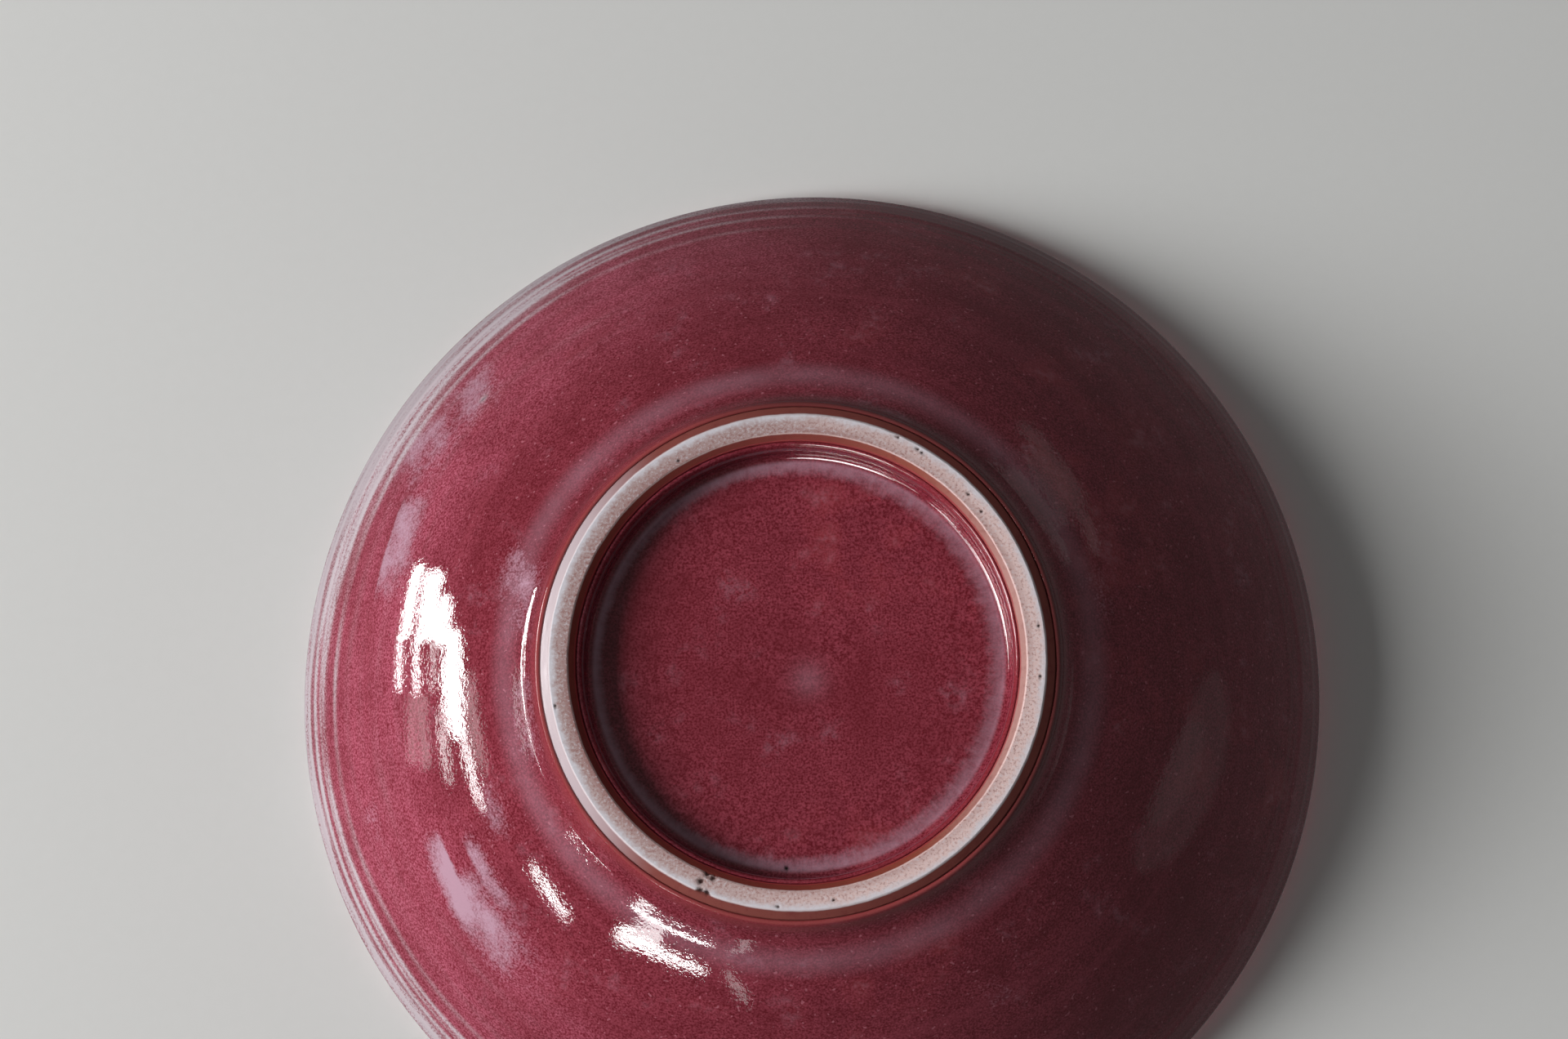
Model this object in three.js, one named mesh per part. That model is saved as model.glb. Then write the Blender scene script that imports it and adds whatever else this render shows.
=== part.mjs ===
// Stoneware ramen bowl: one thrown and turned clay body under three fired coats of glaze.
// Millimetres, +Z up, axis on x = y = 0, foot standing on z = 0.
import * as THREE from 'three';

// Finished size, over the glaze
const BOWL_DIAMETER = 200;
const BOWL_HEIGHT = 64;
const LIP_THICKNESS = 4.4;

// Turned foot ring, bare clay where it stands
const FOOT_DIAMETER = 88.6; // outer edge of the standing face
const FOOT_FACE_WIDTH = 3.1;
const FOOT_HEIGHT = 5.8; // up to the corner with the belly, before the fillet
const FOOT_FLARE = 16; // degrees off upright, outer side
const FOOT_FILLET = 8; // radius of the turned hollow between foot and belly
const OUTER_BEVEL_WIDTH = 1.7;
const OUTER_BEVEL_HEIGHT = 1.3;
const INNER_BEVEL_WIDTH = 1.4;
const INNER_BEVEL_HEIGHT = 1.2;

// Turned well inside the foot ring
const WELL_DEPTH = 9.4; // clay, at the edge of the disc
const WELL_DRAFT = 6; // degrees off upright
const WELL_FILLET = 2.6;
const WELL_CROWN = 0.5; // rise of the disc's middle above its edge

// Thrown wall and floor
const FLOOR_THICKNESS = 6.2; // clay, over the disc's middle
const WALL_THICKNESS = 6; // clay, where the belly leaves the foot
const BELLY_SLOPE = 34; // degrees above level, where the belly leaves the foot
const INSIDE_SWEEP = 34; // radius of the turn from the floor into the wall

// Throwing rings, ridges that the fingers left below the lip
const RING_COUNT = 5;
const RING_PITCH = 5.8; // along the wall
const RING_HEIGHT = 0.5;

// Glaze coats
const GLAZE_THICKNESS = 0.8;
const LIP_GLAZE = 0.35; // thin where it ran off the lip
const LIP_THINNING = 9; // length of wall over which it thins
const RING_GLAZE_LOSS = 0.7; // share of a ring's height that the glaze loses over it
const POOL_DEPTH = 0.35; // extra glaze in the turned hollow
const POOL_LENGTH = 7;
const EDGE_BEAD = 1.6; // length over which the coat swells from its edge
const EDGE_THICKNESS = 0.3;
const GLAZE_SETBACK = 0.4; // bare clay between a bevel and the glaze edge
const GLAZE_CLEARANCE = 0.06; // between the clay and a coat, and between two coats

// Facets
const TURN_SEGMENTS = 40;
const RING_STEPS = 4; // per ring
const BELLY_STEPS = 5;
const INSIDE_STEPS = 6;
const SWEEP_STEPS = 4;
const FILLET_STEPS = 5;
const ROLL_STEPS = 2; // of the lip, each side of its outermost point

const radians = THREE.MathUtils.degToRad;
const point = (radius, height) => new THREE.Vector2(radius, height);
const polar = (centre, radius, angle) =>
  point(centre.x + radius * Math.cos(angle), centre.y + radius * Math.sin(angle));

// Points on an arc, its first and last ones included
function arc(centre, radius, from, to, steps) {
  const points = [];
  for (let i = 0; i <= steps; i++) {
    points.push(polar(centre, radius, from + ((to - from) * i) / steps));
  }
  return points;
}

// Arc that rounds the corner between two straight runs, each given as a unit direction of travel
function fillet(corner, incoming, outgoing, radius, steps) {
  const turn = incoming.angleTo(outgoing);
  const reach = radius * Math.tan(turn / 2);
  const start = corner.clone().addScaledVector(incoming, -reach);
  const side = Math.sign(incoming.cross(outgoing));
  const toCentre = point(-incoming.y, incoming.x).multiplyScalar(side);
  const centre = start.clone().addScaledVector(toCentre, radius);
  const from = start.clone().sub(centre).angle();
  return arc(centre, radius, from, from + side * turn, steps);
}

// The lip is a half round that both sides of the wall run into
const lipRadius = LIP_THICKNESS / 2 - LIP_GLAZE - GLAZE_CLEARANCE;
const lipCentre = point(BOWL_DIAMETER / 2 - LIP_THICKNESS / 2, BOWL_HEIGHT - LIP_THICKNESS / 2);
const seamAngle = GLAZE_CLEARANCE / (2 * lipRadius);

// Side of the wall: a circle that leaves a start point at the belly's slope and touches the lip
// on its outer side (touch 1) or its inner side (touch -1)
function wallCircle(start, touch) {
  const slope = radians(BELLY_SLOPE);
  const left = polar(point(0, 0), 1, slope + Math.PI / 2);
  const chord = lipCentre.clone().sub(start).addScaledVector(left, -touch * lipRadius);
  const reach = chord.lengthSq() / (2 * chord.dot(left));
  const radius = reach + touch * lipRadius;
  const centre = start.clone().addScaledVector(left, radius);
  const lipAngle = lipCentre.clone().sub(centre).angle() - 2 * Math.PI;
  return { centre, radius, startAngle: slope - Math.PI / 2, lipAngle };
}

// Foot ring, from the standing face outwards and inwards
const faceOuter = FOOT_DIAMETER / 2;
const faceInner = faceOuter - FOOT_FACE_WIDTH;
const outerBevel = point(faceOuter + OUTER_BEVEL_WIDTH, OUTER_BEVEL_HEIGHT);
const innerBevel = point(faceInner - INNER_BEVEL_WIDTH, INNER_BEVEL_HEIGHT);
const bareFoot = [innerBevel, point(faceInner, 0), point(faceOuter, 0), outerBevel];

// How high a ring stands out of the belly at a distance below the lip
const ringZone = RING_COUNT * RING_PITCH;
function ringHeight(belowLip) {
  if (belowLip >= ringZone) {
    return 0;
  }
  const fade = Math.cos((Math.PI / 2) * (belowLip / ringZone));
  return RING_HEIGHT * fade * Math.sin((Math.PI * belowLip) / RING_PITCH) ** 2;
}

// Outer side of the foot ring: up from the bevel and round the turned hollow to the belly
const footUp = point(Math.sin(radians(FOOT_FLARE)), Math.cos(radians(FOOT_FLARE)));
const bellyOut = point(Math.cos(radians(BELLY_SLOPE)), Math.sin(radians(BELLY_SLOPE)));
const footSide = (FOOT_HEIGHT - OUTER_BEVEL_HEIGHT) / footUp.y;
const footCorner = outerBevel.clone().addScaledVector(footUp, footSide);
const footHollow = fillet(footCorner, footUp, bellyOut, FOOT_FILLET, FILLET_STEPS);
const bellyStart = footHollow.at(-1);

// Glazed outside: up the foot, through the turned hollow, over the ringed belly to the lip
function outsideStretch() {
  const edge = outerBevel.clone().addScaledVector(footUp, GLAZE_SETBACK);
  const bead = edge.clone().lerp(footHollow[0], 0.5);
  const belly = wallCircle(bellyStart, 1);
  const bellyLength = belly.radius * (belly.lipAngle - belly.startAngle);
  const distances = [];
  for (let i = 1; i < BELLY_STEPS; i++) {
    distances.push(bellyLength - ((bellyLength - ringZone) * i) / BELLY_STEPS);
  }
  for (let i = RING_COUNT * RING_STEPS; i > 0; i--) {
    distances.push((i * RING_PITCH) / RING_STEPS);
  }
  const wall = distances.map((belowLip) =>
    polar(belly.centre, belly.radius + ringHeight(belowLip), belly.lipAngle - belowLip / belly.radius));
  const roll = arc(lipCentre, lipRadius, belly.lipAngle, 0, ROLL_STEPS);
  const crown = arc(lipCentre, lipRadius, 0, Math.PI / 2 - seamAngle, ROLL_STEPS + 1);
  return [edge, bead, ...footHollow, ...wall, ...roll, ...crown.slice(1)];
}

// Glazed inside: from the lip down the wall, through a wide sweep to the middle of the floor
function insideStretch() {
  const floorHeight = WELL_DEPTH + WELL_CROWN + FLOOR_THICKNESS;
  const slope = radians(BELLY_SLOPE);
  const wall = wallCircle(polar(bellyStart, WALL_THICKNESS, slope + Math.PI / 2), -1);
  const apart = wall.radius - INSIDE_SWEEP;
  const sweepHeight = floorHeight + INSIDE_SWEEP;
  const across = Math.sqrt(apart ** 2 - (wall.centre.y - sweepHeight) ** 2);
  const sweepCentre = point(wall.centre.x + across, sweepHeight);
  const sweepAngle = sweepCentre.clone().sub(wall.centre).angle() - 2 * Math.PI;
  const lipEnd = wall.lipAngle + Math.PI;
  const lip = arc(lipCentre, lipRadius, Math.PI / 2 + seamAngle, lipEnd, ROLL_STEPS + 1);
  const side = arc(wall.centre, wall.radius, wall.lipAngle, sweepAngle, INSIDE_STEPS);
  const sweep = arc(sweepCentre, INSIDE_SWEEP, sweepAngle, -Math.PI / 2, SWEEP_STEPS);
  return [...lip, ...side.slice(1), ...sweep.slice(1), point(0, floorHeight)];
}

// Side of the well, from its corner with the disc down to the inner bevel
const wellDown = point(Math.sin(radians(WELL_DRAFT)), -Math.cos(radians(WELL_DRAFT)));
const wellSide = (INNER_BEVEL_HEIGHT - WELL_DEPTH) / wellDown.y;
const wellCorner = innerBevel.clone().addScaledVector(wellDown, -wellSide);
const discOut = point(wellCorner.x, -WELL_CROWN).normalize();
const wellHollow = fillet(wellCorner, discOut, wellDown, WELL_FILLET, FILLET_STEPS);

// Glazed well: from the middle of the disc out and down to the inner bevel
function wellStretch() {
  const centre = point(0, WELL_DEPTH + WELL_CROWN);
  const halfway = point(wellCorner.x / 2, WELL_DEPTH + WELL_CROWN / 2);
  const bead = innerBevel.clone().addScaledVector(wellDown, -GLAZE_SETBACK - EDGE_BEAD / 2);
  const edge = innerBevel.clone().addScaledVector(wellDown, -GLAZE_SETBACK);
  return [centre, halfway, ...wellHollow, bead, edge];
}

// Unit normals of a profile, on the right of its way, where the open air is
function normals(profile) {
  return profile.map((here, i) => {
    const before = profile[Math.max(i - 1, 0)];
    const after = profile[Math.min(i + 1, profile.length - 1)];
    const along = after.clone().sub(before).normalize();
    return here.x === 0 ? point(0, Math.sign(-along.x)) : point(along.y, -along.x);
  });
}

// Running length of a profile at each of its points
function lengths(profile) {
  let total = 0;
  return profile.map((here, i) => {
    total += i > 0 ? here.distanceTo(profile[i - 1]) : 0;
    return total;
  });
}

const smooth = (value) => THREE.MathUtils.smoothstep(value, 0, 1);

// A coat swells from its edge to its full depth in a quarter round
function beadThickness(fromEdge) {
  const along = Math.min(fromEdge / EDGE_BEAD, 1);
  const swell = Math.sqrt(1 - (1 - along) ** 2);
  return EDGE_THICKNESS + (GLAZE_THICKNESS - EDGE_THICKNESS) * swell;
}

// A coat thins towards the lip
function lipThickness(fromLip) {
  return LIP_GLAZE + (GLAZE_THICKNESS - LIP_GLAZE) * smooth(fromLip / LIP_THINNING);
}

// Extra depth where the coat gathered in a turned hollow, on each point of a stretch
function poolThicknesses(stretch, hollow) {
  const along = lengths(stretch);
  const middle = along[stretch.indexOf(hollow[Math.round(FILLET_STEPS / 2)])];
  return along.map((length) => POOL_DEPTH * (1 - smooth(Math.abs(length - middle) / POOL_LENGTH)));
}

// Solid of revolution from a profile in radius and height
function turned(profile) {
  const geometry = new THREE.LatheGeometry(profile, TURN_SEGMENTS);
  return geometry.rotateX(Math.PI / 2);
}

// Closed coat over one stretch of the clay, with its own depth at each point. Its outline starts
// and ends on the axis where the stretch reaches it, and otherwise closes on itself.
function coat(stretch, directions, depths) {
  const back = stretch.map((here, i) => here.clone().addScaledVector(directions[i], GLAZE_CLEARANCE));
  const front = back.map((here, i) => here.clone().addScaledVector(directions[i], depths[i]));
  back.reverse();
  if (stretch[0].x === 0) {
    return turned([...front, ...back]);
  }
  if (stretch.at(-1).x === 0) {
    return turned([...back, ...front]);
  }
  return turned([...front, ...back, front[0].clone()]);
}

const well = wellStretch();
const outside = outsideStretch();
const inside = insideStretch();
const clay = [...well, ...bareFoot, ...outside, ...inside];
const clayNormals = normals(clay);
const normalsOf = (stretch) => {
  const first = clay.indexOf(stretch[0]);
  return clayNormals.slice(first, first + stretch.length);
};

// Depth of each coat along its stretch
const lipRoll = lipRadius * (Math.PI / 2 - seamAngle);
const outsideLengths = lengths(outside);
const outsidePool = poolThicknesses(outside, footHollow);
const outsideDepths = outsideLengths.map((length, i) => {
  const fromLip = Math.max(outsideLengths.at(-1) - length - lipRoll, 0);
  const base = Math.min(beadThickness(length), lipThickness(fromLip));
  return base + outsidePool[i] - RING_GLAZE_LOSS * ringHeight(fromLip);
});
const insideDepths = lengths(inside).map((length) => lipThickness(Math.max(length - lipRoll, 0)));
const wellLengths = lengths(well);
const wellPool = poolThicknesses(well, wellHollow);
const wellDepths = wellLengths.map((length, i) =>
  beadThickness(wellLengths.at(-1) - length) + wellPool[i]);

function piece(name, geometry, look) {
  const mesh = new THREE.Mesh(geometry, new THREE.MeshStandardMaterial(look));
  mesh.name = name;
  return mesh;
}

const bareClay = { color: '#b9aaa0', roughness: 0.85, metalness: 0 };
const copperRed = { color: '#7d1f30', roughness: 0.12, metalness: 0 };

const bowl = new THREE.Group();
bowl.name = 'ramen_bowl';
bowl.add(piece('clay_body', turned(clay), bareClay));
bowl.add(piece('outer_glaze', coat(outside, normalsOf(outside), outsideDepths), copperRed));
bowl.add(piece('inner_glaze', coat(inside, normalsOf(inside), insideDepths), copperRed));
bowl.add(piece('well_glaze', coat(well, normalsOf(well), wellDepths), copperRed));

export default bowl;
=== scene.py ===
"""A stoneware ramen bowl, thrown, turned and glazed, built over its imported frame."""

import functools
import math

import bmesh
import bpy
from bpy.props import FloatProperty, FloatVectorProperty, IntProperty, PointerProperty
from mathutils import Matrix, Vector, noise


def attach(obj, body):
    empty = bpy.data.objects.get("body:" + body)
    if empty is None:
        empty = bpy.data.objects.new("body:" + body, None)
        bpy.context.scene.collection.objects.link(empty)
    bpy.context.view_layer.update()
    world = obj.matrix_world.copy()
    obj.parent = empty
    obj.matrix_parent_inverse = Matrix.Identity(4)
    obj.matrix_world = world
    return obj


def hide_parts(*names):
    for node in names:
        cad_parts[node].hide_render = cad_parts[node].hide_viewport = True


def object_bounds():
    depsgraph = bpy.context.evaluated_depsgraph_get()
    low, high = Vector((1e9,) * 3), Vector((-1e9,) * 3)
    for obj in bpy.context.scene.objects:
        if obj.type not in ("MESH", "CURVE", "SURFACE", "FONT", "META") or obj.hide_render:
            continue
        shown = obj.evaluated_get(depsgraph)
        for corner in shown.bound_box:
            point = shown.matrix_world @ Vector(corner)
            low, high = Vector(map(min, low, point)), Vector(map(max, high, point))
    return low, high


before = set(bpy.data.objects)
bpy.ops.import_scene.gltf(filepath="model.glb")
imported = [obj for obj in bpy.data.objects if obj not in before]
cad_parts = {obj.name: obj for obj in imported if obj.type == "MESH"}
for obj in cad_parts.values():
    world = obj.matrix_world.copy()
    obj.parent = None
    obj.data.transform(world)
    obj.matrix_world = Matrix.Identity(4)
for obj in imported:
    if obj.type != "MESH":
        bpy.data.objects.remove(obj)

bl_info = {
    "name": "Stoneware Ramen Bowl",
    "version": (1, 0, 0),
    "blender": (4, 5, 0),
    "location": "View3D > Sidebar > Ramen Bowl",
    "description": "Builds a thrown and glazed ramen bowl over its packed frame, with its stage",
    "category": "Add Mesh",
}

CAD_LOW, CAD_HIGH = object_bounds()
MM = 0.001


def linear(red, green, blue):
    """A colour given in 0 to 255 on the sRGB curve, as the linear values that shaders use"""
    shares = (red / 255, green / 255, blue / 255)
    return tuple(s / 12.92 if s <= 0.04045 else ((s + 0.055) / 1.055) ** 2.4 for s in shares)


def number(description, default, **options):
    return FloatProperty(description=description, default=default, **options)


def length(description, millimetres):
    return number(description, millimetres * MM, min=0, precision=5, unit="LENGTH")


def angle(description, degrees):
    return number(description, math.radians(degrees), unit="ROTATION")


def colour(description, red, green, blue):
    return FloatVectorProperty(
        description=description,
        default=linear(red, green, blue),
        min=0,
        max=1,
        size=3,
        subtype="COLOR",
    )


class BowlSizes(bpy.types.PropertyGroup):
    """Finished sizes of the clay and of the coats of glaze on it"""

    diameter: length("Over the glaze at the lip", (CAD_HIGH.x - CAD_LOW.x) / MM)
    height: length("From the foot to the lip", CAD_HIGH.z / MM)
    lip_thickness: length("Over both coats", 4.4)
    foot_diameter: length("Outer edge of the standing face", 88.6)
    face_width: length("Bare clay that stands on the table", 3.1)
    foot_height: length("Up to the corner with the belly", 5.8)
    foot_flare: angle("Outer side of the foot, off upright", 16)
    foot_fillet: length("Radius turned between foot and belly", 8)
    outer_bevel_width: length("Bare bevel outside the face", 1.7)
    outer_bevel_height: length("Rise of that bevel", 1.3)
    inner_bevel_width: length("Bare bevel inside the face", 1.4)
    inner_bevel_height: length("Rise of that bevel", 1.2)
    well_depth: length("Depth of the clay disc inside the foot", 9.4)
    well_draft: angle("Side of the well, off upright", 6)
    well_fillet: length("Radius between the disc and its side", 2.6)
    well_crown: length("Rise of the disc's middle", 0.5)
    floor_thickness: length("Clay over the disc's middle", 6.2)
    wall_thickness: length("Clay where the belly begins", 6)
    belly_slope: angle("Where the belly leaves the foot", 34)
    inside_sweep: length("Radius from the floor into the wall", 34)
    glaze: length("Thickness of a full coat", 0.8)
    lip_glaze: length("Where it ran thin", 0.35)
    lip_thinning: length("Wall over which the coat thins", 9)
    pool_depth: length("Extra glaze in a turned hollow", 0.35)
    pool_length: length("Reach of that extra glaze", 7)
    edge_bead: length("Length over which a coat swells", 1.6)
    edge_thickness: length("Glaze at its very edge", 0.3)
    glaze_setback: length("Clay left between bevel and glaze", 0.4)
    clearance: length("Between the clay and a coat", 0.06)
    corner_wear: length("Rounding of the foot's corners", 0.22)
    ring_height: length("Ridges left below the lip", 0.09)
    segments: IntProperty(description="Facets round the bowl", default=400)


class BowlColours(bpy.types.PropertyGroup):
    """Colours of the fired clay and of the copper red glaze"""

    # Also used as painted shade on the -X side of the foot's inner bevel
    deep: colour("Where the coat is thickest", 99, 22, 33)
    rose: colour("Light grains of a full coat", 150, 62, 77)
    freckle: colour("Dark grains of a full coat", 96, 16, 28)
    # Grains of the painted light on the -X side of the belly, which stands in for the side light
    # falling there
    painted_light_pink: colour("Light grains where the coat thinned on the belly", 184, 92, 113)
    painted_light_wine: colour("Dark grains where the coat thinned on the belly", 122, 30, 46)
    milk: colour("Lilac haze in pooled glaze", 186, 148, 165)
    bubble: colour("Tiny bubbles in the coat", 196, 120, 134)
    # Also painted on the -X outer bevel of the foot as a painted reflection of the window
    lip: colour("Thin milky glaze on rings and lip", 202, 190, 196)
    coral: colour("Glaze on the side of the foot", 150, 52, 58)
    edge: colour("Thin line along the edge of a coat", 150, 72, 70)
    ash: colour("Pale bloom along the standing face", 214, 214, 222)
    toast: colour("Clay toasted by the fire", 170, 146, 144)
    # Pale clay, laid creamier towards +X; also the painted highlight along the face's worn corners
    cream_and_highlight: colour("Clay on the sheltered side of the foot", 225, 196, 192)
    brick: colour("Iron flashing on the outer bevel", 128, 68, 62)
    sienna: colour("Iron flashing on the inner bevel", 136, 68, 54)
    # Dark of the pits and pinholes; also laid as painted shade along the outer coat's edge by the
    # foot
    pit_dark_and_shade: colour("Pinholes and pits", 34, 24, 22)
    wall: colour("Plain pale paper of the stage", 214, 214, 212)


class StageSettings(bpy.types.PropertyGroup):
    """The photograph's camera and the lamps round the bowl"""

    focal: length("Focal length for a 36 mm wide picture", 76.275)
    foot_distance: length("From the lens to the foot's centre", 593.04)
    swing: angle("Turn of the bowl to the side", 2.44)
    lean: angle("Turn of the bowl backwards", 8.465)
    window: number("Bright panes to the left of the bowl", 30)
    strip: number("Slim bright strips beside the window", 28)
    key: number("Broad soft light from below left", 14.5)
    panel: number("Dim panels to the right", 0.6)
    top: number("Broad soft light over the bowl", 4.4)
    sheen: number("Reflection of the light over the bowl", 6.0)
    room: number("Plain light from all round", 0.13)


# The photograph's size and the pixels at which marks on the bowl lie
PICTURE_WIDTH = 1920
PICTURE_HEIGHT = 1272
SENSOR_WIDTH = 36 * MM
FOOT_CENTRE_PX = (975.5, 807.6)
PINHOLE_PX = (592, 487)
SCAR_PITS_PX = ((866, 1070), (873, 1075), (858, 1079), (857, 1090), (865, 1093))
FACE_PITS_PX = (
    *((1100, 535), (1124, 550), (1129, 554), (1202, 626), (1272, 766), (1274, 828)),
    *((1186, 605), (831, 564), (680, 864), (1021, 1102), (953, 1110)),
)
WELL_PIT_PX = (963, 1063)
WELL_SPOT_PX = (990, 832)
# Radius and depth of those holes
PINHOLE = (0.3 * MM, 0.25 * MM)
SCAR_PIT = (0.55 * MM, 0.3 * MM)
FACE_PIT = (0.26 * MM, 0.22 * MM)
WELL_PIT = (0.4 * MM, 0.15 * MM)
PIT_CUTS = 3
# Smears of haze: both ends, half width in mm, side with the sharp edge (0 for none), strength
HAZE_PX = (
    ((514, 600), (470, 744), 5.5, 1, 0.62),
    ((610, 455), (455, 640), 11, 0, 0.46),
    ((526, 1022), (600, 1176), 3.4, -1, 0.75),
    ((570, 1020), (634, 1130), 2.4, 1, 0.65),
    ((560, 1066), (650, 1210), 7.0, 0, 0.62),
    ((450, 985), (470, 1040), 3.5, 0, 0.3),
    ((640, 660), (634, 800), 6, 0, 0.42),
    ((640, 820), (650, 960), 5, 0, 0.4),
    ((590, 950), (620, 1040), 4, 0, 0.4),
    ((1335, 690), (1345, 790), 5, 0, 0.3),
    ((1200, 1225), (1260, 1200), 5, 0, 0.25),
    ((430, 1150), (470, 1220), 4, 0, 0.3),
)

# Throwing rings on the outside: way down from the lip and half width in mm, strength
THROWING_RINGS = (
    (3.9, 0.8, 0.6),
    (8.7, 0.9, 1.0),
    (11.2, 0.6, 0.5),
    (13.2, 0.9, 0.75),
    (18.7, 1.1, 0.42),
    (24.5, 2.0, 0.16),
    (29.5, 2.4, 0.1),
    (36.0, 2.8, 0.14),
    (43.5, 3.2, 0.1),
)

# Sides of the bowl, by azimuth
PALER_SIDE = math.radians(-170)
UPPER_SIDE = math.radians(-146)
LOWER_SIDE = math.radians(138)
CLOSE_RINGS_SIDE = math.radians(150)
RIPPLED_SIDE = math.radians(-15)
STRAY_EDGE_SIDE = math.radians(-38)

# Milky rings in the glaze, by radius
HOLLOW_RING = 53.4 * MM
HOLLOW_RING_WIDTH = 3.8 * MM
WELL_RING = 36.9 * MM

# Largest distances between vertices along the section
WORN_STEP = 0.05 * MM
BARE_STEP = 0.13 * MM
EDGE_STEP = 0.2 * MM
WELL_HOLLOW_STEP = 0.25 * MM
BEND_STEP = 0.3 * MM
RINGED_STEP = 0.38 * MM
BELLY_STEP = 0.75 * MM
INSIDE_STEP = 0.8 * MM
DISC_STEP = 0.9 * MM
FLOOR_STEP = 1 * MM
HIDDEN_GAP = 3 * MM
RINGED_LENGTH = 34 * MM
SAME_PLACE = 1e-6
SECTORS = 8

# Unevenness of the thrown wall: where it begins and how far it goes at the lip
WOBBLE_FROM = 12 * MM
WOBBLE_INWARDS = 0.16 * MM
WOBBLE_DROP = 0.14 * MM

# Way by which the edge of a coat strays at most
WAVY_EDGE = 0.15 * MM

# Length from the edge of a coat over which its distance is painted on the mesh
EDGE_REACH = 10 * MM

# Square metres added under a root, so that nothing divides by zero on the axis
AXIS_GUARD = 1e-9

# Distance between the ridges of the spiral inside
SPIRAL_PITCH = 9 * MM

# Refraction of the glaze, and roughness of the thin glaze that ran over the foot's bevel
GLASS_IOR = 1.5
COAT_ROUGHNESS = 0.3

# Scales of the noises, in features per metre
GRAIN = 2500
CLAY_GRAIN = 1900
BUBBLES = 1300
PEEL = 850
SPECK = 760
GROG = 700
MOTTLE = 560
PAPER = 420
CLOUD = 120
CLAY_CLOUD = 110
DRIFT = 24


def sizes():
    return bpy.context.scene.bowl_sizes


def colours():
    return bpy.context.scene.bowl_colours


def stage():
    return bpy.context.scene.stage_settings


def rgba(value):
    return (value[0], value[1], value[2], 1)


# Plane geometry of the section, in radius and height


def smoothstep(low, high, value):
    share = min(max((value - low) / (high - low), 0), 1)
    return share * share * (3 - 2 * share)


def bell(distance, width):
    return math.exp(-((distance / width) ** 2))


def direction(turn):
    return Vector((math.cos(turn), math.sin(turn)))


def turned(flat, azimuth):
    """A point or a way of the section, taken round the axis to an azimuth"""
    return Vector((flat.x * math.cos(azimuth), flat.x * math.sin(azimuth), flat.y))


def arc(centre, radius, start, end, step):
    """Points along an arc, both ends included, no further apart than the step"""
    count = max(2, math.ceil(abs(end - start) * radius / step))
    turns = [start + (end - start) * i / count for i in range(count + 1)]
    return [centre + radius * direction(turn) for turn in turns]


def line(start, end, step):
    count = max(1, math.ceil((end - start).length / step))
    return [start.lerp(end, i / count) for i in range(count + 1)]


def fillet(corner, incoming, outgoing, radius, step):
    """Arc that rounds a corner between two unit directions of travel"""
    turn = incoming.angle(outgoing)
    side = math.copysign(1, incoming.cross(outgoing))
    start = corner - incoming * radius * math.tan(turn / 2)
    centre = start + Vector((-incoming.y, incoming.x)) * side * radius
    spoke = start - centre
    first = math.atan2(spoke.y, spoke.x)
    return arc(centre, radius, first, first + side * turn, step)


def joined(*runs):
    points = []
    for run in runs:
        for point in run:
            if not points or (point - points[-1]).length > SAME_PLACE:
                points.append(point)
    return points


def running_lengths(points):
    total = 0
    lengths = [0]
    for before, after in zip(points, points[1:]):
        total += (after - before).length
        lengths.append(total)
    return lengths


def sideways(points):
    """Unit direction out of the clay at each point, on the right of the run's way"""
    out = []
    for i, point in enumerate(points):
        before = points[max(i - 1, 0)]
        after = points[min(i + 1, len(points) - 1)]
        way = (after - before).normalized()
        on_axis = point.x == 0
        out.append(Vector((0, math.copysign(1, -way.x))) if on_axis else Vector((way.y, -way.x)))
    return out


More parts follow.
